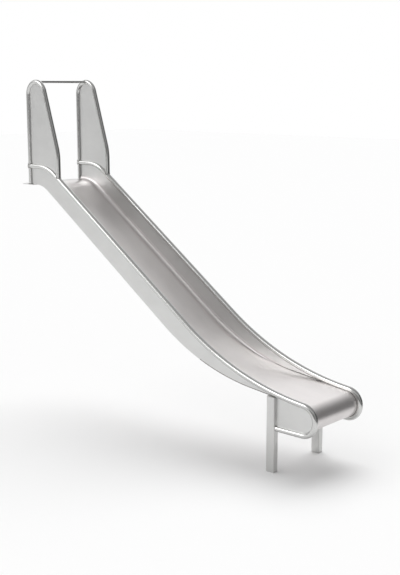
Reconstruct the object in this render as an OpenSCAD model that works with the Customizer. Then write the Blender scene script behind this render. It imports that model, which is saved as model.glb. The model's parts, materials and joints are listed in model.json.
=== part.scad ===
// Playground slide of welded stainless steel that bolts to a platform and stands on two posts.
// Millimetres. X runs down the slide from the bolt line, Y points to the rider's left, Z is up.
// The origin is the middle of the bolt line on the underside of the platform plate.

/* [Chute] */
// Distance between the mid planes of the two side cheeks
chute_w = 550; // [500:5:600]
// Height of the platform plate's underside above the feet of the posts
platform_h = 1894; // [1850:2:1940]
// Angle of the sliding section below level, degrees
slope_angle = 35.2; // [34.6:0.2:36]
// Angle of the run-out below level, degrees
runout_angle = 6.2; // [5.4:0.2:7]
// From the bolt line to where the bed's level line and its slope line cross
start_run = 216; // [200:2:240]
// Length of the flat run-out between the bed's lower bend and the nose
runout_len = 476; // [440:4:520]
// Height of the nose centre above the feet of the posts
nose_h = 438; // [425:1:450]

/* [Bed] */
// Thickness of the bed sheet
bed_t = 2.5; // [2:0.5:3]
// Radius of the underside where the bed tips over into the slope
bed_top_r = 260; // [200:10:320]
// Radius of the underside where the slope runs out
bed_foot_r = 1837; // [1700:1:1900]
// Inside radius of the fold that leads the bed up into each cheek
fold_r = 30; // [24:1:34]
// Height of the straight lip above each fold, welded to the cheek
fold_lip = 3; // [2:1:6]
// Depth of the bed's underside below the rim axis along the run-out and round the nose
exit_drop = 16; // [15:0.5:17]
// How far the roll under the nose curls on past its lowest point, degrees
roll_curl = 20; // [5:5:40]

/* [Cheeks] */
// Thickness of the cheek, end and ear sheets
cheek_t = 3; // [2:0.5:4]
// Height of the rim axis above the bed's underside on the level start
start_rim_h = 152; // [140:2:170]
// Distance of the rim axis from the bed's underside on the slope, square to it
slope_rim_h = 167; // [155:1:175]

/* [Rims] */
// Outside diameter of the rim tubes
rim_d = 42.4; // [38:0.1:43]
// Wall of the rim tubes
rim_wall = 2; // [1.5:0.5:3]
// Radius of the rim axis where it tips over into the slope
rim_top_r = 330; // [280:10:380]
// Radius of the rim axis where the slope runs out
rim_foot_r = 2293; // [2150:1:2330]
// Radius of the rim axis round the nose
nose_r = 108.8; // [100:0.2:115]
// Thickness of the discs that close the rims at the ears
rim_cap_t = 3; // [2:0.5:5]

/* [Ears] */
// Outside diameter of the ear frame tubes
ear_d = 38; // [34:0.5:40]
// Wall of the ear frame tubes
ear_wall = 2; // [1.5:0.5:3]
// From the bolt line to the axis of the rear legs
ear_rear_x = 65; // [60:1:75]
// From the bolt line to the axis of the front legs
ear_front_x = 422; // [400:1:440]
// Height above the plate's underside at which the front legs lean back
ear_kink_h = 273; // [250:1:300]
// Lean of the front legs above that height, degrees
ear_lean = 16.9; // [15:0.1:18]
// Radius of the frame axis round the top of each ear
ear_top_r = 104; // [95:1:115]
// Radius of the bend where the front legs lean back
ear_kink_r = 330; // [150:10:400]
// Outside diameter of the guard bar between the ears
guard_d = 20; // [16:0.5:26]
// Wall of the guard bar
guard_wall = 2; // [1.5:0.5:3]

/* [Platform plate] */
// Thickness of the platform plate
plate_t = 5; // [4:0.5:8]
// Edge of the plate behind the bolt line
plate_back = 30; // [25:1:40]
// Edge of the plate in front of the bolt line
plate_front = 120; // [105:1:130]
// Corner radius of the plate
plate_corner_r = 12; // [5:1:20]
// Number of bolt holes across the plate
bolt_count = 4; // [2:1:4]
// Distance between bolt holes
bolt_pitch = 150; // [110:5:150]
// Diameter of the bolt holes
bolt_d = 11; // [9:0.5:13]

/* [Posts] */
// Size of the posts along the slide
post_len = 70; // [60:5:80]
// Size of the posts across the slide
post_w = 50; // [50:5:60]
// Wall of the posts
post_wall = 3; // [2:0.5:4]
// Corner radius of the posts
post_corner_r = 6; // [4:0.5:8]
// From the nose centre back to the front face of the posts
post_setback = 229; // [225:1:300]
// Thickness of the plates that close the tops and the feet of the posts
post_cap_t = 3; // [2:0.5:5]

/* [Carriers under the bed] */
// Greatest distance between the stiffening ribs under the slope
rib_pitch = 440; // [280:20:560]
// Length of a rib across the bed
rib_len = 400; // [300:10:420]
// Width of a rib's raised channel
rib_w = 40; // [30:2:60]
// Height of a rib
rib_h = 22; // [15:1:24]
// Width of each of a rib's two flanges
rib_flange = 15; // [10:1:25]
// Sheet thickness of the ribs
rib_t = 2; // [1.5:0.5:3]
// Size of the cross beam along the run-out
beam_len = 40; // [30:5:60]
// Height of the cross beam
beam_h = 30; // [20:5:40]
// Wall of the cross beam
beam_wall = 2.5; // [2:0.5:3]

/* [Fits] */
// Gap left for the weld where a round tube meets another piece
weld_gap = 0.2; // [0.15:0.05:0.3]
// Length of the weld bead that joins a straight length of tube to a bend
bead_len = 4; // [3:1:8]
// How far that bead stands into the bore, and stays below the tube's outer face
bead_in = 0.6; // [0.5:0.1:0.8]

/* [Hidden] */
$fn = 96;
big_fn = 360;
tube_fn = 96;
arc_steps = 36;
// Straight stretches of the bed reach this far into the bends beside them, so that it is one solid
lap = 1;
// Bends of the bed are this much slimmer on each face than the straights that lap them
slim = 0.1;
steel = [0.74, 0.74, 0.73];
steel_bed = [0.77, 0.75, 0.74];
steel_tube = [0.68, 0.68, 0.67];
steel_post = [0.70, 0.70, 0.69];

side_y = chute_w / 2;
floor_z = -platform_h;
bed_z = plate_t;
rim_r = rim_d / 2;
ear_r = ear_d / 2;
rim_clear = rim_r + weld_gap;
ear_clear = ear_r + weld_gap;
cheek_in = side_y - cheek_t / 2;
roll_r = nose_r - exit_drop;
// Half width of the bed where its edges lie against the round of the rim tubes
exit_half_w = side_y - weld_gap - sqrt(pow(rim_r, 2) - pow(exit_drop - bed_t, 2));

// Where a line through p falling at angle a meets a line through q falling at angle b
function crossing(p, a, q, b) =
    let (x = (q[1] - p[1] + q[0] * tan(b) - p[0] * tan(a)) / (tan(b) - tan(a)))
    [x, p[1] - (x - p[0]) * tan(a)];
// From the nose centre to where the falling run-out touches the circle of radius r round it
function nose_touch(r) = r * [sin(runout_angle), cos(runout_angle)];
// Length along a level or falling line between two points
function span(p, q) = norm(q - p);

// A path is a pose [x, z, heading] followed by segments: [length] is straight,
// and [radius, turn] is an arc that turns upwards for a positive turn.
function advance(p, s) = len(s) == 1
    ? [p[0] + s[0] * cos(p[2]), p[1] + s[0] * sin(p[2]), p[2]]
    : let (side = sign(s[1]), h = p[2] + s[1])
      [p[0] + side * s[0] * (sin(h) - sin(p[2])), p[1] + side * s[0] * (cos(p[2]) - cos(h)), h];
function pose_at(p, segs, i) = i == 0 ? p : advance(pose_at(p, segs, i - 1), segs[i - 1]);
function beside(p, off) = [p[0] - off * sin(p[2]), p[1] + off * cos(p[2])];
// Points along a segment at a distance off to its upper side
function seg_points(p, s, off) = len(s) == 1
    ? [beside(p, off), beside(advance(p, s), off)]
    : [for (i = [0:arc_steps]) beside(advance(p, [s[0], s[1] * i / arc_steps + 1e-9]), off)];
function path_points(p, segs, off) =
    [for (i = [0:len(segs) - 1]) for (q = seg_points(pose_at(p, segs, i), segs[i], off)) q];

// Underside of the bed
bed_turn = slope_angle - runout_angle;
bed_corner = [start_run, bed_z];
bed_top_tan = bed_top_r * tan(slope_angle / 2);
bed_foot_tan = bed_foot_r * tan(bed_turn / 2);
// The foot of the slope lies where the run-out then ends at the height of the nose
nose_z = floor_z + nose_h;
runout_span = bed_foot_tan + runout_len;
bed_foot_z = nose_z + nose_touch(roll_r)[1] + runout_span * sin(runout_angle);
bed_foot = [start_run + (bed_z - bed_foot_z) / tan(slope_angle), bed_foot_z];
bed_exit = bed_foot + runout_span * [cos(runout_angle), -sin(runout_angle)];
nose_c = bed_exit - nose_touch(roll_r);
post_front_x = nose_c[0] - post_setback;
post_mid_x = post_front_x - post_len / 2;
bed_start_x = ear_rear_x + ear_clear;
bed_pose = [bed_start_x, bed_z, 0];
bed_slope_len = span(bed_corner, bed_foot) - bed_top_tan - bed_foot_tan;
bed_segs = [
    [start_run - bed_top_tan - bed_pose[0]],
    [bed_top_r, -slope_angle],
    [bed_slope_len],
    [bed_foot_r, bed_turn],
    [runout_len],
    [roll_r, runout_angle - 180 - roll_curl]
];
foot_pose = pose_at(bed_pose, bed_segs, 3);
runout_pose = pose_at(bed_pose, bed_segs, 4);
// Along the run-out to the posts' front face, where the bed narrows to fit between the rims
post_reach = (post_front_x - runout_pose[0]) / cos(runout_angle);
exit_segs = [[bed_segs[4][0] - post_reach + lap], bed_segs[5]];

// Axis of the rims
rim_start_z = bed_z + start_rim_h;
rim_slope_point = beside([start_run, bed_z, -slope_angle], slope_rim_h);
rim_corner = crossing([0, rim_start_z], 0, rim_slope_point, slope_angle);
rim_exit = nose_c + nose_touch(nose_r);
rim_foot = crossing(rim_corner, slope_angle, rim_exit, runout_angle);
rim_top_tan = rim_top_r * tan(slope_angle / 2);
rim_foot_tan = rim_foot_r * tan(bed_turn / 2);
rim_start_x = ear_rear_x - ear_r;
rim_pose = [rim_start_x + rim_cap_t, rim_start_z, 0];
rim_segs = [
    [rim_corner[0] - rim_top_tan - rim_pose[0]],
    [rim_top_r, -slope_angle],
    [span(rim_corner, rim_foot) - rim_top_tan - rim_foot_tan],
    [rim_foot_r, bed_turn],
    [span(rim_foot, rim_exit) - rim_foot_tan],
    [nose_r, runout_angle - 180],
    [post_setback]
];
rim_upper_segs = [for (i = [0:4]) rim_segs[i]];
rim_nose_pose = pose_at(rim_pose, rim_segs, 3);
rim_nose_segs = [for (i = [3:6]) rim_segs[i]];

// Axis of the ear frames, from the rear leg's foot over the top to the front leg's foot
ear_foot_z = rim_start_z;
front_foot_z = rim_corner[1] - (ear_front_x - rim_corner[0]) * tan(slope_angle);
ear_top_x = ear_rear_x + ear_top_r;
ear_top_z = ear_kink_h + ((ear_front_x - ear_top_x) * cos(ear_lean) - ear_top_r) / sin(ear_lean);
ear_kink_tan = ear_kink_r * tan(ear_lean / 2);
lean_touch = [ear_top_x + ear_top_r * cos(ear_lean), ear_top_z + ear_top_r * sin(ear_lean)];
ear_pose = [ear_rear_x, ear_foot_z, 90];
ear_segs = [
    [ear_top_z - ear_foot_z],
    [ear_top_r, ear_lean - 180],
    [span(lean_touch, [ear_front_x, ear_kink_h]) - ear_kink_tan],
    [ear_kink_r, -ear_lean],
    [ear_kink_h - ear_kink_tan - front_foot_z]
];

module at(p) {
    translate([p[0], 0, p[1]]) rotate([0, -p[2], 0]) children();
}

// One segment of a sweep: the child is a section with Y as its x and the path's upper side as its y.
// A straight one stops short of its ends by the two gaps.
module segment(s, before = 0, after = 0) {
    if (len(s) == 1)
        rotate([90, 0, 90]) translate([0, 0, before]) linear_extrude(s[0] - before - after)
            children();
    else if (s[1] < 0)
        translate([0, 0, -s[0]])
            multmatrix([[0, 1, 0, 0], [0, 0, 1, 0], [1, 0, 0, 0], [0, 0, 0, 1]])
                rotate_extrude(angle = -s[1], $fn = big_fn)
                    translate([s[0], 0]) mirror([1, -1, 0]) children();
    else
        translate([0, 0, s[0]])
            multmatrix([[0, 1, 0, 0], [0, 0, -1, 0], [-1, 0, 0, 0], [0, 0, 0, 1]])
                rotate_extrude(angle = s[1], $fn = big_fn)
                    translate([s[0], 0]) mirror([1, 1, 0]) children();
}

// Leaves a gap between each straight segment and the bends beside it, or laps them for a negative gap.
// The first child is the section of the straights, the last that of the bends.
module sweep(p, segs, gap) {
    last = len(segs) - 1;
    for (i = [0:last])
        at(pose_at(p, segs, i)) segment(segs[i], i > 0 ? gap : 0, i < last ? gap : 0)
            children(len(segs[i]) == 1 ? 0 : $children - 1);
}

module ring(d, wall) {
    difference() {
        circle(d = d, $fn = tube_fn);
        circle(d = d - 2 * wall, $fn = tube_fn);
    }
}

// Straight lengths and bends of tube on one side, with a weld bead across each joint
module tube(side, p, segs, d, wall) {
    sweep(p, segs, weld_gap) translate([side * side_y, 0]) ring(d, wall);
    for (i = [1:len(segs) - 1])
        at(advance(pose_at(p, segs, i), [-bead_len / 2])) segment([bead_len])
            translate([side * side_y, 0]) ring(d - 2 * bead_in, wall);
}

module sheet(side) {
    translate([0, side * side_y + cheek_t / 2, 0]) rotate([90, 0, 0]) linear_extrude(cheek_t) children();
}

// Bar of the given section that runs across the slide, centred on it
module across(length) {
    rotate([90, 0, 0]) translate([0, 0, -length / 2]) linear_extrude(length) children();
}

// Sections of the bed, each face moved in by the given inset
module flat_section(half_w, inset = 0) {
    translate([-half_w, inset]) square([2 * half_w, bed_t - 2 * inset]);
}

// Fold that carries the bed's edge up against the cheek
module fold_section(inset = 0) {
    fold_out = fold_r + bed_t;
    for (turn = [0, 1]) mirror([turn, 0]) translate([cheek_in - fold_out, fold_out]) {
        difference() {
            intersection() {
                circle(r = fold_out - inset);
                translate([0, -fold_out]) square(fold_out);
            }
            circle(r = fold_r + inset);
        }
        translate([fold_r + inset, 0]) square([bed_t - 2 * inset, fold_lip - inset]);
    }
}

module trough_section(inset = 0) {
    flat_section(cheek_in - fold_r - bed_t, inset);
    fold_section(inset);
}

module bed() {
    color(steel_bed) {
        sweep(bed_pose, [bed_segs[0], bed_segs[1], [bed_slope_len + lap]], -lap) {
            trough_section();
            trough_section(slim);
        }
        sweep(foot_pose, [bed_segs[3], [post_reach]], -lap) {
            flat_section(cheek_in);
            flat_section(cheek_in, slim);
        }
        fold_fade();
        sweep(advance(runout_pose, [post_reach - lap]), exit_segs, -lap) {
            flat_section(exit_half_w);
            flat_section(exit_half_w, slim);
        }
    }
}

// Along the concave bend the folds follow a flatter arc, so they sink into the bed and end
module fold_fade() {
    arc_len = bed_foot_r * bed_turn * PI / 180;
    fade_r = 1 / (1 / bed_foot_r - 2 * (fold_r + fold_lip) / pow(arc_len, 2));
    fade_turn = arc_len / fade_r * 180 / PI;
    above = fold_r + fold_lip + 2 * bed_t;
    intersection() {
        at(foot_pose) segment([fade_r, fade_turn]) fold_section(slim);
        at(foot_pose) segment(bed_segs[3])
            translate([-cheek_in, bed_t / 2]) square([2 * cheek_in, above]);
    }
}

module bed_ribs() {
    slope_pose = pose_at(bed_pose, bed_segs, 2);
    rib_count = ceil(bed_slope_len / rib_pitch);
    step = bed_slope_len / rib_count;
    channel = rib_w / 2;
    color(steel_post) for (i = [0:rib_count - 1])
        at(advance(slope_pose, [(i + 0.5) * step])) across(rib_len) difference() {
            union() {
                translate([-channel - rib_flange, -rib_t]) square([rib_w + 2 * rib_flange, rib_t]);
                translate([-channel, -rib_h]) square([rib_w, rib_h]);
            }
            translate([-channel + rib_t, -rib_h + rib_t]) square([rib_w - 2 * rib_t, rib_h]);
        }
}

module cross_beam() {
    along = (post_mid_x - runout_pose[0]) / cos(runout_angle);
    color(steel_post) at(advance(runout_pose, [along])) across(chute_w - post_w)
        translate([0, -beam_h / 2]) difference() {
            square([beam_len, beam_h], center = true);
            square([beam_len - 2 * beam_wall, beam_h - 2 * beam_wall], center = true);
        }
}

module rounded(length, width, r) {
    square([length - 2 * r, width], center = true);
    square([length, width - 2 * r], center = true);
    for (sx = [-1, 1], sy = [-1, 1])
        translate([sx * (length / 2 - r), sy * (width / 2 - r)]) circle(r = r);
}

module platform_plate() {
    length = plate_back + plate_front;
    color(steel_post) difference() {
        translate([length / 2 - plate_back, 0, 0]) linear_extrude(plate_t)
            rounded(length, chute_w + rim_d, plate_corner_r);
        for (i = [0:bolt_count - 1])
            translate([0, (i - (bolt_count - 1) / 2) * bolt_pitch, -plate_t])
                cylinder(d = bolt_d, h = 3 * plate_t);
    }
}

module guard_bar() {
    top = [ear_top_x, ear_top_z + ear_top_r, 0];
    color(steel_tube) difference() {
        at(top) across(chute_w) ring(guard_d, guard_wall);
        for (side = [-1, 1])
            at(pose_at(ear_pose, ear_segs, 1)) segment(ear_segs[1])
                translate([side * side_y, 0]) circle(r = ear_clear);
    }
}

// Everything in the side view that lies above or below a path
module beyond(points, z) {
    last = points[len(points) - 1];
    polygon(concat(points, [[last[0], z], [points[0][0], z]]));
}

module from_x(x) {
    translate([x, floor_z]) square([nose_c[0] + chute_w - x, 2 * platform_h]);
}

module cheek(side) {
    color(steel) sheet(side) difference() {
        intersection() {
            beyond(path_points(rim_pose, rim_upper_segs, -rim_clear), floor_z);
            beyond(path_points(bed_pose, [for (i = [0:4]) bed_segs[i]], 0), platform_h);
            from_x(bed_start_x);
        }
        from_x(post_front_x);
    }
}

module end_panel(side) {
    color(steel) sheet(side) intersection() {
        polygon(path_points(rim_nose_pose, rim_nose_segs, -rim_clear));
        from_x(post_front_x);
    }
}

module rim(side) {
    color(steel_tube) tube(side, rim_pose, rim_segs, rim_d, rim_wall);
}

module rim_cap(side) {
    color(steel_tube) translate([rim_start_x, side * side_y, rim_start_z])
        rotate([0, 90, 0]) cylinder(d = rim_d, h = rim_cap_t);
}

// Room for a rim tube that passes through the given pose
module rim_room(side, pose) {
    reach = 3 * rim_d;
    at(advance(pose, [-reach / 2])) rotate([90, 0, 90]) linear_extrude(reach)
        translate([side * side_y, 0]) circle(r = rim_clear);
}

module ear_frame(side) {
    color(steel_tube) difference() {
        tube(side, ear_pose, ear_segs, ear_d, ear_wall);
        rim_room(side, [ear_rear_x, rim_start_z, 0]);
        rim_room(side, [ear_front_x, front_foot_z, -slope_angle]);
    }
}

module ear_panel(side) {
    color(steel) sheet(side) intersection() {
        polygon(path_points(ear_pose, ear_segs, -ear_clear));
        beyond(path_points(rim_pose, rim_upper_segs, rim_clear), platform_h);
    }
}

module ear_stub(side) {
    color(steel_tube) difference() {
        translate([ear_rear_x, side * side_y, plate_t]) linear_extrude(rim_start_z - plate_t)
            ring(ear_d, ear_wall);
        rim_room(side, [ear_rear_x, rim_start_z, 0]);
    }
}

module post_outline(inset) {
    rounded(post_len - 2 * inset, post_w - 2 * inset, post_corner_r - inset);
}

// Everything above the plane that lies a depth below the underside of the bed's run-out
module above_runout(depth) {
    at(runout_pose) translate([0, -chute_w, -depth])
        cube([2 * chute_w, 2 * chute_w, chute_w]);
}

module post(side) {
    foot_z = floor_z + post_cap_t;
    color(steel_post) difference() {
        translate([post_mid_x, side * side_y, foot_z]) linear_extrude(runout_pose[1] - foot_z)
            difference() {
                post_outline(0);
                post_outline(post_wall);
            }
        above_runout(post_cap_t);
    }
}

module post_cap(side) {
    color(steel_post) difference() {
        intersection() {
            translate([post_mid_x, side * side_y, floor_z]) linear_extrude(platform_h)
                post_outline(0);
            above_runout(post_cap_t);
        }
        above_runout(0);
    }
}

module post_foot(side) {
    color(steel_post) translate([post_mid_x, side * side_y, floor_z])
        linear_extrude(post_cap_t) post_outline(0);
}

module left_cheek() { cheek(1); }
module right_cheek() { cheek(-1); }
module left_end_panel() { end_panel(1); }
module right_end_panel() { end_panel(-1); }
module left_rim() { rim(1); }
module right_rim() { rim(-1); }
module left_rim_cap() { rim_cap(1); }
module right_rim_cap() { rim_cap(-1); }
module left_ear_frame() { ear_frame(1); }
module right_ear_frame() { ear_frame(-1); }
module left_ear_panel() { ear_panel(1); }
module right_ear_panel() { ear_panel(-1); }
module left_ear_stub() { ear_stub(1); }
module right_ear_stub() { ear_stub(-1); }
module left_post() { post(1); }
module right_post() { post(-1); }
module left_post_cap() { post_cap(1); }
module right_post_cap() { post_cap(-1); }
module left_post_foot() { post_foot(1); }
module right_post_foot() { post_foot(-1); }

bed();
bed_ribs();
cross_beam();
platform_plate();
guard_bar();
left_cheek();
right_cheek();
left_end_panel();
right_end_panel();
left_rim();
right_rim();
left_rim_cap();
right_rim_cap();
left_ear_frame();
right_ear_frame();
left_ear_panel();
right_ear_panel();
left_ear_stub();
right_ear_stub();
left_post();
right_post();
left_post_cap();
right_post_cap();
left_post_foot();
right_post_foot();
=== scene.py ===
"""Looks of a playground slide of welded stainless steel.

Metres, in the part's frame: X runs down the slide from the bolt line, Y to the rider's left, Z is up.
"""
import json
import math

import bpy
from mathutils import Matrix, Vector


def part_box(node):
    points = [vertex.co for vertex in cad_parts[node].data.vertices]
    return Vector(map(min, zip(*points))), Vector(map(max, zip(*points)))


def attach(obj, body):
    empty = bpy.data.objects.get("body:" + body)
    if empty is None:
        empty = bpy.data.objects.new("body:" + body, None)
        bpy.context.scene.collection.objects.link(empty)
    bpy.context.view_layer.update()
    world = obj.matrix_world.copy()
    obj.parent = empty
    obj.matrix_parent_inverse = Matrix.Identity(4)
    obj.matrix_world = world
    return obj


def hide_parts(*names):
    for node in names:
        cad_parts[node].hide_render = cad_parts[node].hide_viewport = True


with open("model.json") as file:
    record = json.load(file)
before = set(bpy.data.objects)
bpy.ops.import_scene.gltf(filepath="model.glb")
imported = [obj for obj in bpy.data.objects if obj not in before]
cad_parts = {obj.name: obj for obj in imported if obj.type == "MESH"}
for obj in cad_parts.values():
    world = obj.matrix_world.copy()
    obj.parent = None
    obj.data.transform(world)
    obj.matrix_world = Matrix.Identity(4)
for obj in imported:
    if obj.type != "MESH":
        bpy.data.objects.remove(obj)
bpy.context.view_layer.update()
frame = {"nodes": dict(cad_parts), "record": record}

SIDES = {"left": 1, "right": -1}

# Driving dimensions of the side view, as the part is built
SLOPE = math.radians(35.2)
RUNOUT = math.radians(6.2)
START_RUN = 0.216
RUNOUT_LEN = 0.476
NOSE_H = 0.438
NOSE_R = 0.1088
EXIT_DROP = 0.016
ROLL_CURL = math.radians(20)
BED_T = 0.0025
BED_TOP_R = 0.260
BED_FOOT_R = 1.837
FOLD_R = 0.030
FOLD_LIP = 0.003
START_RIM_H = 0.152
SLOPE_RIM_H = 0.167
RIM_TOP_R = 0.330
RIM_FOOT_R = 2.293
EAR_REAR_X = 0.065
EAR_FRONT_X = 0.422
EAR_KINK_H = 0.273
EAR_LEAN = math.radians(16.9)
EAR_TOP_R = 0.104
EAR_KINK_R = 0.330
POST_SETBACK = 0.229
POST_CORNER_R = 0.006
WELD_GAP = 0.0002

# How closely the meshes follow the forms
STRAIGHT_STEP = 0.06
BED_STRAIGHT_STEP = 0.05
CORNER_STRAIGHT_STEP = 0.01
TURN_STEP = math.radians(1.5)
TUBE_TURN_STEP = math.radians(2)
RIM_SIDES = 64
TUBE_SIDES = 48
GUARD_SIDES = 32
GUARD_STEPS = 8
POST_CORNER_STEPS = 6
FLAT_SHARES = (0, 0.25, 0.5, 0.75, 0.94, 1)
FOLD_STEPS = 12
SAME_WIDTH = 1e-6

# Radii of the rounded edges of the posts' pieces, and how far in the middle of a round lies, as a share
POST_EDGE = 0.0004
LID_EDGE = 0.0006
SOLE_EDGE = 0.0008
EDGE_MIDDLE = 0.3

# Angles in degrees from which an edge is shaded sharp
SHARP = 30
BED_SHARP = 40
BEAD_SHARP = 50

# Weld beads. BEAD_SIDE is the length of a side of a bead of radius 1. Shares of BEAD_R say how far the axis
# of a bead stands off the tube, and how thick the beads on the guard bar are. CORNER_START is the share of
# the lower bend at which the corner beads begin.
BEAD_R = 0.0032
BEAD_PASS = 0.005
BEAD_RIPPLE = 0.08
BEAD_STEP = 0.0016
BEAD_SIDES = 8
BEAD_SIDE = 0.785
LEG_BEAD_OFF = 0.3
GUARD_BEAD_OFF = 0.2
GUARD_BEAD_SHARE = 0.7
SADDLE_POINTS = 72
# The corner beads are dark and paint the shade of the crease along the bed's edges as well as a weld
CORNER_START = 0.45
CORNER_R = 0.0045
CORNER_STEP = 2 * BEAD_STEP

# Colours of the steels
BED_COLOUR = (0.78, 0.75, 0.744)
SHEET_COLOUR = (0.715, 0.715, 0.706)
TUBE_COLOUR = (0.68, 0.68, 0.67)
FRAME_COLOUR = (0.70, 0.70, 0.69)
# Near-black weld colour: partly the heat tint of the welds, partly painted shade of the crease where the
# bed meets the cheeks and the rims
WELD_TINT_AND_CREASE_SHADE = (0.27, 0.26, 0.25)

# Patterns in the steel: repeats per metre, stretch along each axis of the map, and detail
GRAIN_LINES = (1400, (0.03, 1, 1), 4)
BLOCK_LINES = (1400, (0.4, 1, 0.4), 4)
CLOUD = (9, (0.5, 1, 1), 3)
SMUDGE = (32, (0.7, 1, 1), 5)
SHEET_WAVE = (5, (0.6, 1, 1), 1)

# How the patterns act: on the colour, on the polish, and as the depth of the scratches
TINT = 0.05
LINES_IN_TINT = 0.45
CLOUD_IN_TINT = 0.55
CLOUD_SPAN = (0.3, 0.7)
SMUDGE_SPAN = (0.35, 0.7)
SMOOTHER_SHARE = 0.6
SCRATCH_DEPTH = 0.0000015

# Brightness of the room that the steel mirrors, where 1 is white
BACK_WALL = 1.22
SIDE_WALL = 0.72
LOW_WALL = 0.31
CEILING = 0.42

# Where the parts of the room begin and end, as the Y or Z of the way in which they are seen
BACK_WALL_Y = (0.30, 0.72)
BACK_WALL_TOP = (0.72, 0.92)
SIDE_WALL_TOP = (0.71, 0.86)
FRONT_Y = (-0.50, -0.20)
LOW_WALL_TOP = (0.30, 0.72)

# Places in the room: the way to the middle, the angles at which the place begins to fade and ends, and the
# brightness that it adds or the share that it leaves
DARK_WAY = (0.6545, 0.7270, 0.2080)
DARK_END = 0.06
LIT_PLACES = {
    "soft_box": ((-0.5468, -0.7000, 0.4600), math.radians(7), math.radians(29), 2.2),
    "glow": ((-0.4300, -0.7100, 0.5577), math.radians(3), math.radians(14), 2.3),
}
DIM_PLACES = {
    "dark_end": (DARK_WAY, math.radians(12), math.radians(80), DARK_END),
    "front": ((0.7544, -0.6330, 0.1736), math.radians(15), math.radians(62), 0.62),
}

# Even light from the room, and the lamps: way of the light, strength, and spread in degrees
ROOM_LIGHT = 0.50
LAMPS = {
    "key": ((0.32, -0.45, -1), 1.6, 50),
    "side": ((0.73, 0.66, -1), 0.5, 60),
}

# Floor. In reflections its share of dark is FLOOR_DIM near the slide, and it grows to 1 between the two
# distances of FLOOR_FADE beyond the nose, towards the dark end.
FLOOR_HALF = 40
FLOOR_PALE = 0.93
FLOOR_ROUGHNESS = 0.9
FLOOR_DIM = 0.09
FLOOR_FADE = (0.7, 3.2)

# Camera
FOCAL_PX = 1046.6
PHOTO_WIDTH_PX = 400
SENSOR_WIDTH = 36
CLIP_END = 200
CAMERA_AT = (7.0684, -5.9121, 0.8359)
CAMERA_WAY = (-0.6570, 0.7293, -0.1910)

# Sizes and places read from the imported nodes
rim_low, rim_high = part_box("left_rim")
ear_low, ear_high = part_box("left_ear_frame")
cheek_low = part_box("left_cheek")[0]
post_low, post_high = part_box("left_post")
foot_low, foot_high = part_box("left_post_foot")
plate_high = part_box("platform_plate")[1]
bar_low, bar_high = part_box("guard_bar")
SIDE_Y = (rim_low.y + rim_high.y) / 2
RIM_R = (rim_high.y - rim_low.y) / 2
EAR_R = (ear_high.y - ear_low.y) / 2
GUARD_R = (bar_high.z - bar_low.z) / 2
CHEEK_IN = cheek_low.y
FLOOR_Z = foot_low.z
FOOT_T = foot_high.z - foot_low.z
BED_Z = plate_high.z


def crossing(p, a, q, b):
    """Where a line through p falling at angle a meets a line through q falling at angle b."""
    x = (q[1] - p[1] + q[0] * math.tan(b) - p[0] * math.tan(a)) / (math.tan(b) - math.tan(a))
    return x, p[1] - (x - p[0]) * math.tan(a)


def advance(pose, segment, share=1.0):
    """The pose (x, z, heading) after a share of a straight (length,) or of a bend (radius, turn)."""
    x, z, heading = pose
    if len(segment) == 1:
        run = segment[0] * share
        return x + run * math.cos(heading), z + run * math.sin(heading), heading
    radius = math.copysign(segment[0], segment[1])
    turned = heading + segment[1] * share
    return (x + radius * (math.sin(turned) - math.sin(heading)),
            z + radius * (math.cos(heading) - math.cos(turned)), turned)


def pose_at(pose, segments, index):
    """The pose at the start of the segment with this index."""
    for segment in segments[:index]:
        pose = advance(pose, segment)
    return pose


def beside(pose, off):
    """The point at a distance off to the upper side of a pose."""
    return pose[0] - off * math.sin(pose[2]), pose[1] + off * math.cos(pose[2])


def placed(pose, y, up):
    """The point in space at a width y and a distance up from a pose."""
    x, z = beside(pose, up)
    return x, y, z


def length_of(segment):
    """Length of a straight or of a bend."""
    return segment[0] if len(segment) == 1 else segment[0] * abs(segment[1])


def stations(pose, segments, straight_step=STRAIGHT_STEP, turn_step=TURN_STEP):
    """Poses along a path with their distance from its start, close together on the bends."""
    found, done = [(pose, 0.0)], 0.0
    for segment in segments:
        whole = length_of(segment)
        step = straight_step if len(segment) == 1 else min(segment[0] * turn_step, straight_step)
        count = max(1, math.ceil(whole / step))
        for i in range(1, count + 1):
            found.append((advance(pose, segment, i / count), done + whole * i / count))
        pose = advance(pose, segment)
        done += whole
    return found


# Underside of the bed
turn_back = SLOPE - RUNOUT
roll_r = NOSE_R - EXIT_DROP
nose_dir = (math.sin(RUNOUT), math.cos(RUNOUT))
bed_top_tan = BED_TOP_R * math.tan(SLOPE / 2)
bed_foot_tan = BED_FOOT_R * math.tan(turn_back / 2)
runout_span = bed_foot_tan + RUNOUT_LEN
foot_z = FLOOR_Z + NOSE_H + roll_r * nose_dir[1] + runout_span * math.sin(RUNOUT)
bed_foot = (START_RUN + (BED_Z - foot_z) / math.tan(SLOPE), foot_z)
bed_exit = (bed_foot[0] + runout_span * math.cos(RUNOUT), foot_z - runout_span * math.sin(RUNOUT))
nose = (bed_exit[0] - roll_r * nose_dir[0], bed_exit[1] - roll_r * nose_dir[1])
bed_start_x = EAR_REAR_X + EAR_R + WELD_GAP
bed_pose = (bed_start_x, BED_Z, 0.0)
slope_len = math.dist((START_RUN, BED_Z), bed_foot) - bed_top_tan - bed_foot_tan
foot_bend = (BED_FOOT_R, turn_back)
above_foot = [
    (START_RUN - bed_top_tan - bed_start_x,),
    (BED_TOP_R, -SLOPE),
    (slope_len,),
]
bed_segments = above_foot + [
    foot_bend,
    (RUNOUT_LEN,),
    (roll_r, RUNOUT - math.pi - ROLL_CURL),
]
runout_pose = pose_at(bed_pose, bed_segments, len(above_foot) + 1)
foot_len = length_of(foot_bend)
foot_start = sum(length_of(segment) for segment in above_foot)
foot_end = foot_start + foot_len
post_front_x = nose[0] - POST_SETBACK

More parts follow.
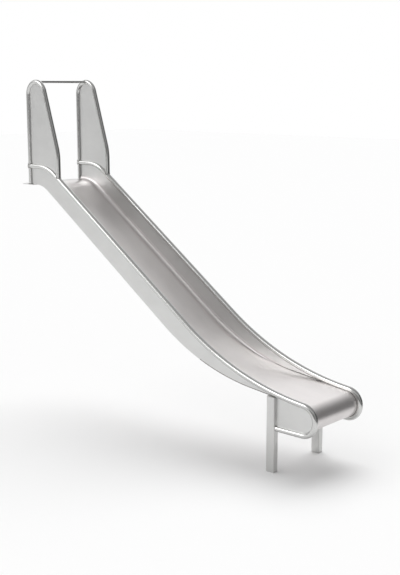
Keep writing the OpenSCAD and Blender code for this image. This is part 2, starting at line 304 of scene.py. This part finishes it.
# Axis of the rims
rim_start_z = BED_Z + START_RIM_H
slope_point = beside((START_RUN, BED_Z, -SLOPE), SLOPE_RIM_H)
rim_corner = crossing((0, rim_start_z), 0, slope_point, SLOPE)
rim_exit = (nose[0] + NOSE_R * nose_dir[0], nose[1] + NOSE_R * nose_dir[1])
rim_foot = crossing(rim_corner, SLOPE, rim_exit, RUNOUT)
rim_top_tan = RIM_TOP_R * math.tan(SLOPE / 2)
rim_foot_tan = RIM_FOOT_R * math.tan(turn_back / 2)
rim_start_x = rim_low.x
rim_pose = (rim_start_x, rim_start_z, 0.0)
rim_segments = [
    (rim_corner[0] - rim_top_tan - rim_start_x,),
    (RIM_TOP_R, -SLOPE),
    (math.dist(rim_corner, rim_foot) - rim_top_tan - rim_foot_tan,),
    (RIM_FOOT_R, turn_back),
    (math.dist(rim_foot, rim_exit) - rim_foot_tan,),
    (NOSE_R, RUNOUT - math.pi),
    (POST_SETBACK,),
]
rim_path = stations(rim_pose, rim_segments, turn_step=TUBE_TURN_STEP)

# Axis of the ear frames, from the rear leg's foot over the top to the front leg's foot
front_foot_z = rim_corner[1] - (EAR_FRONT_X - rim_corner[0]) * math.tan(SLOPE)
ear_top_x = EAR_REAR_X + EAR_TOP_R
ear_top_z = EAR_KINK_H + ((EAR_FRONT_X - ear_top_x) * math.cos(EAR_LEAN) - EAR_TOP_R) / math.sin(EAR_LEAN)
guard_z = ear_top_z + EAR_TOP_R
ear_kink_tan = EAR_KINK_R * math.tan(EAR_LEAN / 2)
lean_touch = (ear_top_x + EAR_TOP_R * math.cos(EAR_LEAN), ear_top_z + EAR_TOP_R * math.sin(EAR_LEAN))
ear_pose = (EAR_REAR_X, rim_start_z, math.pi / 2)
ear_segments = [
    (ear_top_z - rim_start_z,),
    (EAR_TOP_R, EAR_LEAN - math.pi),
    (math.dist(lean_touch, (EAR_FRONT_X, EAR_KINK_H)) - ear_kink_tan,),
    (EAR_KINK_R, -EAR_LEAN),
    (EAR_KINK_H - ear_kink_tan - front_foot_z,),
]


def plug(tree, value, socket):
    """Feeds a socket from another one, or sets it to a number."""
    if isinstance(value, (int, float)):
        socket.default_value = value
    else:
        tree.links.new(value, socket)


def math_node(tree, operation, *values):
    """The result of a calculation with sockets or numbers."""
    node = tree.nodes.new("ShaderNodeMath")
    node.operation = operation
    for socket, value in zip(node.inputs, values):
        plug(tree, value, socket)
    return node.outputs["Value"]


def ramp(tree, value, start, end, out_start, out_end, kind="LINEAR"):
    """Maps a value from one range to another and holds it inside."""
    node = tree.nodes.new("ShaderNodeMapRange")
    node.clamp = True
    node.interpolation_type = kind
    limits = {"From Min": start, "From Max": end, "To Min": out_start, "To Max": out_end}
    for name, limit in limits.items():
        node.inputs[name].default_value = limit
    tree.links.new(value, node.inputs["Value"])
    return node.outputs["Result"]


def smooth(tree, value, start, end, out_start, out_end):
    """A ramp that starts and ends gently."""
    return ramp(tree, value, start, end, out_start, out_end, "SMOOTHSTEP")


def mixed(tree, share, low, high):
    """low where the share is 0, high where it is 1."""
    span = math_node(tree, "SUBTRACT", high, low)
    return math_node(tree, "ADD", low, math_node(tree, "MULTIPLY", share, span))


def mixed_colour(tree, share, low, high):
    """The colour low where the share is 0, the colour high where it is 1."""
    node = tree.nodes.new("ShaderNodeMix")
    node.data_type = "RGBA"
    node.inputs["A"].default_value = low
    node.inputs["B"].default_value = high
    tree.links.new(share, node.inputs["Factor"])
    return node.outputs["Result"]


def noise(tree, place, scale, stretch, detail):
    """Noise over a map, with its own stretch along each axis."""
    mapping = tree.nodes.new("ShaderNodeMapping")
    mapping.inputs["Scale"].default_value = [scale * s for s in stretch]
    tree.links.new(place, mapping.inputs["Vector"])
    texture = tree.nodes.new("ShaderNodeTexNoise")
    texture.inputs["Scale"].default_value = 1.0
    texture.inputs["Detail"].default_value = detail
    tree.links.new(mapping.outputs["Vector"], texture.inputs["Vector"])
    return texture.outputs["Fac"]


def bump(tree, height, depth):
    """A bump node of a depth in metres."""
    node = tree.nodes.new("ShaderNodeBump")
    node.inputs["Distance"].default_value = depth
    tree.links.new(height, node.inputs["Height"])
    return node


def along(tree, vector, way):
    """Length of a vector socket along a fixed way."""
    node = tree.nodes.new("ShaderNodeVectorMath")
    node.operation = "DOT_PRODUCT"
    tree.links.new(vector, node.inputs[0])
    node.inputs[1].default_value = way
    return node.outputs["Value"]


def new_material(name):
    """A material with its node tree and its shader."""
    material = bpy.data.materials.new(name)
    material.use_nodes = True
    return material, material.node_tree, material.node_tree.nodes["Principled BSDF"]


def steel_map(tree, along_grain):
    """The map that the patterns of the steel follow, and the look of the fine lines on it."""
    if along_grain:
        source = tree.nodes.new("ShaderNodeUVMap")
        source.uv_map = "grain"
        return source.outputs["UV"], GRAIN_LINES
    return tree.nodes.new("ShaderNodeTexCoord").outputs["Object"], BLOCK_LINES


def steel(name, colour, roughness, along_grain=True, grain=0.06, wave=0.00025, cloudy=0.05, metal=1.0):
    """Satin stainless steel: fine grain along the piece, cloudy polish and slight waves of the sheet."""
    material, tree, shader = new_material(name)
    place, line_look = steel_map(tree, along_grain)
    looks = (line_look, CLOUD, SMUDGE, SHEET_WAVE)
    lines, cloud, smudge, wavy = [noise(tree, place, *look) for look in looks]

    clouds = ramp(tree, cloud, *CLOUD_SPAN, 0.0, CLOUD_IN_TINT)
    tint = math_node(tree, "MULTIPLY_ADD", lines, LINES_IN_TINT, clouds)
    darker = [c * (1 - TINT) for c in colour] + [1]
    lighter = [min(1, c * (1 + TINT)) for c in colour] + [1]
    tree.links.new(mixed_colour(tree, tint, darker, lighter), shader.inputs["Base Color"])

    polish = ramp(tree, smudge, *SMUDGE_SPAN, roughness - SMOOTHER_SHARE * cloudy, roughness + cloudy)
    tree.links.new(math_node(tree, "MULTIPLY_ADD", lines, grain, polish), shader.inputs["Roughness"])

    waves = bump(tree, wavy, wave)
    scratches = bump(tree, lines, SCRATCH_DEPTH)
    tree.links.new(waves.outputs["Normal"], scratches.inputs["Normal"])
    tree.links.new(scratches.outputs["Normal"], shader.inputs["Normal"])
    shader.inputs["Metallic"].default_value = metal
    return material


# Materials of the pieces made here, with a grain map, and of the CAD nodes, without one
MATERIALS = {
    "bed_steel": steel("satin_bed", BED_COLOUR, roughness=0.33, grain=0.04, wave=0.00006, cloudy=0.02,
                       metal=0.82),
    "tube_steel": steel("brushed_tube", TUBE_COLOUR, roughness=0.17, wave=0.00008, cloudy=0.03),
    "frame_steel": steel("brushed_frame", FRAME_COLOUR, roughness=0.40),
}
# Dark weld steel for all beads: heat tint, and painted shade along the crease at the bed's edges
WELD_TINT_AND_SHADE_MATERIAL = steel("tarnish_and_crease_shade_weld", WELD_TINT_AND_CREASE_SHADE, roughness=0.42, grain=0.10)
BLOCK_MATERIALS = {
    "sheet_steel": steel("satin_sheet_flat", SHEET_COLOUR, roughness=0.33, along_grain=False, grain=0.05,
                         wave=0.0001),
    "frame_steel": steel("brushed_frame_flat", FRAME_COLOUR, roughness=0.40, along_grain=False),
}


def piece(name, slot, points, faces, uvs, *nodes, sharp=SHARP, material=None):
    """A mesh piece with a grain map, one (along, across) pair in metres for each corner of each face."""
    mesh = bpy.data.meshes.new(name)
    mesh.from_pydata(points, [], faces)
    layer = mesh.uv_layers.new(name="grain")
    layer.data.foreach_set("uv", [value for face in uvs for corner in face for value in corner])
    mesh.polygons.foreach_set("use_smooth", [True] * len(faces))
    mesh.materials.append(material or MATERIALS[slot])
    mesh.update()
    mesh.set_sharp_from_angle(angle=math.radians(sharp))
    thing = bpy.data.objects.new(name, mesh)
    bpy.context.scene.collection.objects.link(thing)
    if nodes:
        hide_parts(*nodes)
    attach(thing, "root")
    return thing


def turns(count, extra=0):
    """The angles of evenly spaced points on a circle. One extra closes it."""
    return [2 * math.pi * i / count for i in range(count + extra)]


def girth(radius, sides):
    """Distances round a tube at its corners, and back at the first."""
    return [2 * math.pi * radius * j / sides for j in range(sides + 1)]


def lengths_round(outline):
    """Distances round a closed outline at its points, and back at the first."""
    found = [0.0]
    for here, following in zip(outline, outline[1:] + outline[:1]):
        found.append(found[-1] + math.dist(here, following))
    return found


def quads(i, k, n, start, end, around):
    """The quads between the rows i and k of n points each, and their corners on the grain map."""
    faces, uvs = [], []
    for j in range(n):
        m = (j + 1) % n
        faces.append((i * n + j, i * n + m, k * n + m, k * n + j))
        low, high = around[j], around[j + 1]
        uvs.append(((start, low), (start, high), (end, high), (end, low)))
    return faces, uvs


def end_faces(count, n):
    """The faces over the first and the last of the rows of n points."""
    last = (count - 1) * n
    return tuple(range(n - 1, -1, -1)), tuple(range(last, last + n))


def skin(rows, runs, around):
    """Quads between rows of points, and a face over the first and last row. runs and around are the
    distances along and across that the grain map holds."""
    points = [p for row in rows for p in row]
    n, faces, uvs = len(rows[0]), [], []
    for i in range(len(rows) - 1):
        more_faces, more_uvs = quads(i, i + 1, n, runs[i], runs[i + 1], around)
        faces += more_faces
        uvs += more_uvs
    for face in end_faces(len(rows), n):
        faces.append(face)
        uvs.append([(runs[0] + points[i][2], points[i][1]) for i in face])
    return points, faces, uvs


def ring_points(pose, y, radius, sides):
    """A circle square to the path, counted from its +Y side towards its upper side."""
    return [placed(pose, y + radius * math.cos(a), radius * math.sin(a)) for a in turns(sides)]


def tube(name, slot, path, y, radius, *nodes, sides=TUBE_SIDES, first=None, last=None):
    """A round tube along a path. first and last reshape its end rings to fit what they meet."""
    rows = [ring_points(pose, y, radius, sides) for pose, _ in path]
    if first:
        rows[0] = [first(p) for p in rows[0]]
    if last:
        rows[-1] = [last(p) for p in rows[-1]]
    runs = [run for _, run in path]
    return piece(name, slot, *skin(rows, runs, girth(radius, sides)), *nodes)


def on_rim(side, below=False):
    """Moves a point of an upright tube to the surface of the level or falling rim tube."""
    def moved(p):
        """The point on the rim's surface straight above or below p."""
        rise = math.sqrt(max(0, RIM_R ** 2 - (p[1] - side * SIDE_Y) ** 2)) + WELD_GAP
        if p[0] < rim_corner[0]:
            return p[0], p[1], rim_start_z + (-rise if below else rise)
        axis = front_foot_z - (p[0] - EAR_FRONT_X) * math.tan(SLOPE)
        return p[0], p[1], axis + rise / math.cos(SLOPE)
    return moved


def rounded_rectangle(length, width, radius, steps=POST_CORNER_STEPS):
    """Outline round the origin, with the corners as arcs."""
    points = []
    for quarter, (sx, sy) in enumerate(((1, 1), (-1, 1), (-1, -1), (1, -1))):
        cx, cy = sx * (length / 2 - radius), sy * (width / 2 - radius)
        for i in range(steps + 1):
            a = math.pi / 2 * (quarter + i / steps)
            points.append((cx + radius * math.cos(a), cy + radius * math.sin(a)))
    return points


def prism(name, slot, outline, at, low, high, edge, *nodes):
    """An upright prism with small rounded edges. low and high give the height of its ends at x."""
    rows = []
    middle = edge * EDGE_MIDDLE
    for inset, z_of, lift in ((edge, low, 0), (middle, low, middle), (0, low, edge),
                              (0, high, -edge), (middle, high, -middle), (edge, high, 0)):
        row = []
        for x, y in outline:
            shrink = 1 - inset / math.hypot(x, y)
            px, py = at[0] + x * shrink, at[1] + y * shrink
            row.append((px, py, z_of(px) + lift))
        rows.append(row)
    runs = [row[0][2] for row in rows]
    return piece(name, slot, *skin(rows, runs, lengths_round(outline)), *nodes)


def fold_sink(run):
    """How deep the folds of the bed have sunk into it at a distance along the path."""
    share = min(1.0, max(0.0, (run - foot_start) / foot_len))
    return (FOLD_R + FOLD_LIP) * share ** 2


def rim_above(pose):
    """Height of the rim's axis above the bed's underside, square to the bed."""
    best = None
    for other, _ in rim_path:
        dx, dz = other[0] - pose[0], other[1] - pose[1]
        off = abs(dx * math.cos(pose[2]) + dz * math.sin(pose[2]))
        up = dz * math.cos(pose[2]) - dx * math.sin(pose[2])
        if up > 0 and (best is None or off < best[0]):
            best = (off, up)
    return best[1]


def half_width(pose, run):
    """Half the bed's width: up to the cheeks, and past the posts up to the round of the rims."""
    if pose[0] > post_front_x or run > foot_end + RUNOUT_LEN:
        up = rim_above(pose) - BED_T
        if up < RIM_R:
            return min(CHEEK_IN, SIDE_Y - WELD_GAP - math.sqrt(RIM_R ** 2 - up ** 2))
    return CHEEK_IN


def half_face(half, sink, base, radius):
    """Half of a section of the bed's top face or underside, from the middle out: flat, then up round the
    fold to the top of the lip. base is the height of the flat, radius that of the fold on this face."""
    fold_out = FOLD_R + BED_T
    hub_y, hub_up = CHEEK_IN - fold_out, fold_out - sink
    has_fold = sink < FOLD_R
    meets_cheek = half >= CHEEK_IN - SAME_WIDTH
    flat_end, start = half, math.pi / 2
    if has_fold:
        start = math.acos((hub_up - base) / radius) if hub_up - base < radius else 0.0
        flat_end = min(half, hub_y + radius * math.sin(start))
    points = [(flat_end * share, base) for share in FLAT_SHARES]
    for i in range(1, FOLD_STEPS + 1):
        a = start + (math.pi / 2 - start) * i / FOLD_STEPS
        if has_fold and meets_cheek:
            points.append((hub_y + radius * math.sin(a), hub_up - radius * math.cos(a)))
        else:
            points.append((flat_end, base))
    top = max(base, fold_out + FOLD_LIP - sink) if meets_cheek else base
    points.append((points[-1][0], top))
    return points


def bed_section(pose, run):
    """One section of the bed: top face from right to left, then the underside back again."""
    half, sink = half_width(pose, run), fold_sink(run)
    upper = half_face(half, sink, BED_T, FOLD_R)
    lower = half_face(half, sink, 0.0, FOLD_R + BED_T)
    section = [(-y, up) for y, up in upper[:0:-1]] + upper
    return section + lower[::-1] + [(-y, up) for y, up in lower[1:]]


def make_bed():
    """The bed as one sheet from the ear frames over the run-out to the end of the roll."""
    path = stations(bed_pose, bed_segments, straight_step=BED_STRAIGHT_STEP)
    sections = [bed_section(pose, run) for pose, run in path]
    rows = [[placed(pose, y, up) for y, up in section] for (pose, _), section in zip(path, sections)]
    runs = [run for _, run in path]
    shape = skin(rows, runs, lengths_round(sections[0]))
    return piece("bed_sheet", "bed_steel", *shape, "bed", sharp=BED_SHARP)


def level(z):
    """The same height at every x."""
    return lambda x: z


def under_bed(depth):
    """Height at x of a plane at a depth below the underside of the run-out."""
    return lambda x: runout_pose[1] - depth / math.cos(RUNOUT) - (x - runout_pose[0]) * math.tan(RUNOUT)


def make_side(word, side):
    """The rim, the ear frame with its stub, and the post with its cap and foot, on one side."""
    y = side * SIDE_Y
    tube(f"{word}_rim_tube", "tube_steel", rim_path, y, RIM_R, f"{word}_rim", f"{word}_rim_cap",
         sides=RIM_SIDES)
    ear_path = stations(ear_pose, ear_segments, turn_step=TUBE_TURN_STEP)
    tube(f"{word}_ear_loop", "tube_steel", ear_path, y, EAR_R, f"{word}_ear_frame",
         first=on_rim(side), last=on_rim(side))
    stub_path = stations((EAR_REAR_X, BED_Z, math.pi / 2), [(rim_start_z - BED_Z,)])
    tube(f"{word}_ear_leg", "tube_steel", stub_path, y, EAR_R, f"{word}_ear_stub", last=on_rim(side, True))
    centre = ((post_low.x + post_high.x) / 2, y)
    outline = rounded_rectangle(post_high.x - post_low.x, post_high.y - post_low.y, POST_CORNER_R)
    foot_top = level(FLOOR_Z + FOOT_T)
    prism(f"{word}_post_tube", "frame_steel", outline, centre, foot_top, under_bed(FOOT_T), POST_EDGE,
          f"{word}_post")
    prism(f"{word}_post_lid", "frame_steel", outline, centre, under_bed(FOOT_T), under_bed(0), LID_EDGE,
          f"{word}_post_cap")
    prism(f"{word}_post_sole", "frame_steel", outline, centre, level(FLOOR_Z), foot_top, SOLE_EDGE,
          f"{word}_post_foot")


def bead_ring(centre, first, second, radius):
    """The corners of a bead at one point, in the plane of two ways square to its line."""
    ways = [math.cos(a) * first + math.sin(a) * second for a in turns(BEAD_SIDES)]
    return [tuple(centre + radius * way) for way in ways]


def bead_rings(line, radius, closed):
    """Rings of points round a line, swelling with each pass of the torch, with their distances along the
    line and that of the line's end."""
    count = len(line)
    rows, runs = [], [0.0]
    for i, p in enumerate(line):
        here = Vector(p)
        before = Vector(line[(i - 1) % count if closed else max(0, i - 1)])
        after = Vector(line[(i + 1) % count if closed else min(count - 1, i + 1)])
        way = (after - before).normalized()
        first = way.orthogonal().normalized() if i == 0 else (first - way * first.dot(way)).normalized()
        second = way.cross(first)
        size = radius * (1 + BEAD_RIPPLE * math.sin(2 * math.pi * runs[-1] / BEAD_PASS))
        rows.append(bead_ring(here, first, second, size))
        runs.append(runs[-1] + (Vector(line[(i + 1) % count]) - here).length)
    return rows, runs


def bead(name, slot, line, radius, closed=True):
    """A small weld bead along a line of points, ribbed by the passes of the torch."""
    rows, runs = bead_rings(line, radius, closed)
    points = [p for row in rows for p in row]
    count = len(line)
    around = [j * radius * BEAD_SIDE for j in range(BEAD_SIDES + 1)]
    faces, uvs = [], []
    for i in range(count if closed else count - 1):
        more_faces, more_uvs = quads(i, (i + 1) % count, BEAD_SIDES, runs[i], runs[i + 1], around)
        faces += more_faces
        uvs += more_uvs
    if not closed:
        for face in end_faces(count, BEAD_SIDES):
            faces.append(face)
            uvs.append([(points[i][0], points[i][2]) for i in face])
    return piece(name, slot, points, faces, uvs, sharp=BEAD_SHARP, material=WELD_TINT_AND_SHADE_MATERIAL)


def spaced(line, step):
    """Points at even steps along a line of points."""
    found, left = [Vector(line[0])], step
    for a, b in zip(line, line[1:]):
        a, b = Vector(a), Vector(b)
        whole = (b - a).length
        while left <= whole and whole > 0:
            found.append(a + (b - a) * (left / whole))
            left += step
        left -= whole
    return [tuple(p) for p in found]


def circle_line(side, x, z, radius):
    """A level circle round an upright ear tube, with its first point again at its end."""
    y = side * SIDE_Y
    return [(x + radius * math.cos(a), y + radius * math.sin(a), z) for a in turns(SADDLE_POINTS, 1)]


def saddle(side, x, radius, below=False):
    """Line where an upright ear tube meets the rim tube."""
    moved = on_rim(side, below)
    return [moved(p) for p in circle_line(side, x, 0, radius)]


def guard_line(side, radius):
    """Line where the guard bar meets the round of an ear frame."""
    line = []
    for a in turns(SADDLE_POINTS, 1):
        x, z = ear_top_x + radius * math.cos(a), guard_z + radius * math.sin(a)
        off = min(EAR_R, abs(math.hypot(x - ear_top_x, z - ear_top_z) - EAR_TOP_R))
        line.append((x, side * (SIDE_Y - math.sqrt(EAR_R ** 2 - off ** 2)), z))
    return line


def corner_line(side):
    """Line where the bed meets a cheek and then the rim, from the lower bend to the roll's end."""
    line = []
    for pose, run in stations(bed_pose, bed_segments, straight_step=CORNER_STRAIGHT_STEP):
        if run > foot_start + CORNER_START * foot_len:
            line.append(placed(pose, side * half_width(pose, run), BED_T))
    return line


def ring_bead(name, line, radius=BEAD_R):
    """A weld bead round a tube. The line ends where it starts."""
    return bead(name, "tube_steel", spaced(line, BEAD_STEP)[:-1], radius)


def make_welds(word, side):
    """The weld beads of one side. The dark corner bead along the bed's edges also paints the shade of the
    crease there.
    """
    # Dark corner bead: a weld, and painted shade of the crease where the bed meets the cheek and then the
    # rim
    corner = spaced(corner_line(side), CORNER_STEP)
    bead(f"{word}_corner_shade_weld", "frame_steel", corner, CORNER_R, closed=False)
    reach = EAR_R + BEAD_R * LEG_BEAD_OFF
    ring_bead(f"{word}_rear_leg_weld", saddle(side, EAR_REAR_X, reach))
    ring_bead(f"{word}_front_leg_weld", saddle(side, EAR_FRONT_X, reach))
    ring_bead(f"{word}_stub_weld", saddle(side, EAR_REAR_X, reach, True))
    ring_bead(f"{word}_plate_weld", circle_line(side, EAR_REAR_X, BED_Z, reach))
    guard = guard_line(side, GUARD_R + BEAD_R * GUARD_BEAD_OFF)
    ring_bead(f"{word}_guard_weld", guard, BEAD_R * GUARD_BEAD_SHARE)


def make_guard_bar():
    """The bar between the ears, with its ends shaped to the round of the two frames."""
    rows, runs = [], []
    for share in [i / GUARD_STEPS for i in range(GUARD_STEPS + 1)]:
        row = []
        for a in turns(GUARD_SIDES):
            x, z = ear_top_x + GUARD_R * math.cos(a), guard_z + GUARD_R * math.sin(a)
            off = math.hypot(x - ear_top_x, z - ear_top_z) - EAR_TOP_R
            reach = SIDE_Y - math.sqrt(EAR_R ** 2 - off ** 2) - WELD_GAP
            row.append((x, reach * (2 * share - 1), z))
        rows.append(row)
        runs.append(share * 2 * SIDE_Y)
    points, faces, uvs = skin(rows, runs, girth(GUARD_R, GUARD_SIDES))
    faces = [face[::-1] for face in faces]
    uvs = [list(face)[::-1] for face in uvs]
    return piece("guard_rail", "tube_steel", points, faces, uvs, "guard_bar")


def dress_cad_nodes():
    """Gives each CAD node that still shows the material of its slot."""
    slots = {part["node"]: part["material_slot"] for part in frame["record"]["subparts"]}
    for name, node in frame["nodes"].items():
        if not node.hide_render:
            node.data.materials.clear()
            node.data.materials.append(BLOCK_MATERIALS[slots[name]])


def floor_material():
    """Pale. In reflections it is a little dimmed, and dark beyond the nose towards the room's dark end."""
    material, tree, shader = new_material("pale_floor")
    path = tree.nodes.new("ShaderNodeLightPath")
    place = tree.nodes.new("ShaderNodeNewGeometry")
    out = along(tree, place.outputs["Position"], (DARK_WAY[0], DARK_WAY[1], 0))
    nose_out = nose[0] * DARK_WAY[0]
    far = smooth(tree, out, nose_out + FLOOR_FADE[0], nose_out + FLOOR_FADE[1], FLOOR_DIM, 1)
    dark = math_node(tree, "MULTIPLY", far, path.outputs["Is Glossy Ray"])
    pale = (FLOOR_PALE, FLOOR_PALE, FLOOR_PALE, 1)
    colour = mixed_colour(tree, dark, pale, (DARK_END, DARK_END, DARK_END, 1))
    tree.links.new(colour, shader.inputs["Base Color"])
    shader.inputs["Roughness"].default_value = FLOOR_ROUGHNESS
    shader.inputs["Specular IOR Level"].default_value = 0.0
    return material


def make_floor():
    """The floor that the slide stands on."""
    signs = ((-1, -1), (1, -1), (1, 1), (-1, 1))
    corners = [(sx * FLOOR_HALF, sy * FLOOR_HALF, FLOOR_Z) for sx, sy in signs]
    mesh = bpy.data.meshes.new("floor")
    mesh.from_pydata(corners, [], [(0, 1, 2, 3)])
    floor = bpy.data.objects.new("floor", mesh)
    bpy.context.scene.collection.objects.link(floor)
    mesh.materials.append(floor_material())


def spot(tree, way, middle, core, edge, inside, outside):
    """A value that goes from inside to outside as the way seen turns from the core to the edge."""
    angle = math_node(tree, "ARCCOSINE", along(tree, way, middle))
    return smooth(tree, angle, core, edge, inside, outside)


def room_brightness(tree):
    """Brightness of the mirrored room: a back wall, side walls, low walls in front, a ceiling, and places
    that are lit or dim."""
    way = tree.nodes.new("ShaderNodeTexCoord").outputs["Generated"]
    split = tree.nodes.new("ShaderNodeSeparateXYZ")
    tree.links.new(way, split.inputs["Vector"])
    behind, height = split.outputs["Y"], split.outputs["Z"]
    back_wall = math_node(tree, "MULTIPLY", smooth(tree, behind, *BACK_WALL_Y, 0, 1),
                          smooth(tree, height, *BACK_WALL_TOP, 1, 0))
    side_walls = smooth(tree, height, *SIDE_WALL_TOP, SIDE_WALL, CEILING)
    above_low = math_node(tree, "MAXIMUM", smooth(tree, behind, *FRONT_Y, 0, 1),
                          smooth(tree, height, *LOW_WALL_TOP, 0, 1))
    bright = mixed(tree, back_wall, mixed(tree, above_low, LOW_WALL, side_walls), BACK_WALL)
    for middle, core, edge, added in LIT_PLACES.values():
        bright = math_node(tree, "ADD", bright, spot(tree, way, middle, core, edge, added, 0))
    for middle, core, edge, left in DIM_PLACES.values():
        bright = math_node(tree, "MULTIPLY", bright, spot(tree, way, middle, core, edge, left, 1))
    return bright


def background(tree, strength):
    """White light from all around, with a strength that is a number or a socket."""
    node = tree.nodes.new("ShaderNodeBackground")
    node.inputs["Color"].default_value = (1, 1, 1, 1)
    plug(tree, strength, node.inputs["Strength"])
    return node.outputs["Background"]


def make_world():
    """White to the camera and the room to reflections. Everything else gets an even light."""
    world = bpy.data.worlds.new("studio")
    bpy.context.scene.world = world
    world.use_nodes = True
    world.cycles.sampling_method = "NONE"
    tree = world.node_tree
    tree.nodes.clear()
    path = tree.nodes.new("ShaderNodeLightPath")
    seen = background(tree, mixed(tree, path.outputs["Is Camera Ray"], room_brightness(tree), 1.0))
    even = background(tree, ROOM_LIGHT)
    shows = math_node(tree, "MAXIMUM", path.outputs["Is Camera Ray"], path.outputs["Is Glossy Ray"])
    shows = math_node(tree, "MAXIMUM", shows, path.outputs["Is Transmission Ray"])
    mix = tree.nodes.new("ShaderNodeMixShader")
    for value, socket in zip((shows, even, seen), mix.inputs):
        tree.links.new(value, socket)
    out = tree.nodes.new("ShaderNodeOutputWorld")
    tree.links.new(mix.outputs["Shader"], out.inputs["Surface"])


def turned_along(thing, way):
    """Turns a lamp or a camera to look along a way, with its upper side up."""
    thing.rotation_euler = Vector(way).to_track_quat("-Z", "Y").to_euler()


def make_sun(name, way, strength, spread):
    """A lamp too wide and soft to show as a spot of its own in the steel."""
    lamp = bpy.data.lights.new(name, "SUN")
    lamp.energy = strength
    lamp.angle = math.radians(spread)
    thing = bpy.data.objects.new(name, lamp)
    turned_along(thing, way)
    thing.visible_glossy = False
    bpy.context.scene.collection.objects.link(thing)


def make_camera():
    """The camera, at the photograph's viewing angle."""
    camera = bpy.data.cameras.new("camera")
    camera.sensor_fit = "HORIZONTAL"
    camera.sensor_width = SENSOR_WIDTH
    camera.lens = FOCAL_PX / PHOTO_WIDTH_PX * camera.sensor_width
    camera.clip_end = CLIP_END
    thing = bpy.data.objects.new("camera", camera)
    thing.location = CAMERA_AT
    turned_along(thing, CAMERA_WAY)
    bpy.context.scene.collection.objects.link(thing)
    bpy.context.scene.camera = thing


make_bed()
make_guard_bar()
for word, side in SIDES.items():
    make_side(word, side)
    make_welds(word, side)
dress_cad_nodes()

make_floor()
make_world()
for lamp_name, lamp_values in LAMPS.items():
    make_sun(lamp_name, *lamp_values)
make_camera()
bpy.context.scene.view_settings.view_transform = "Standard"
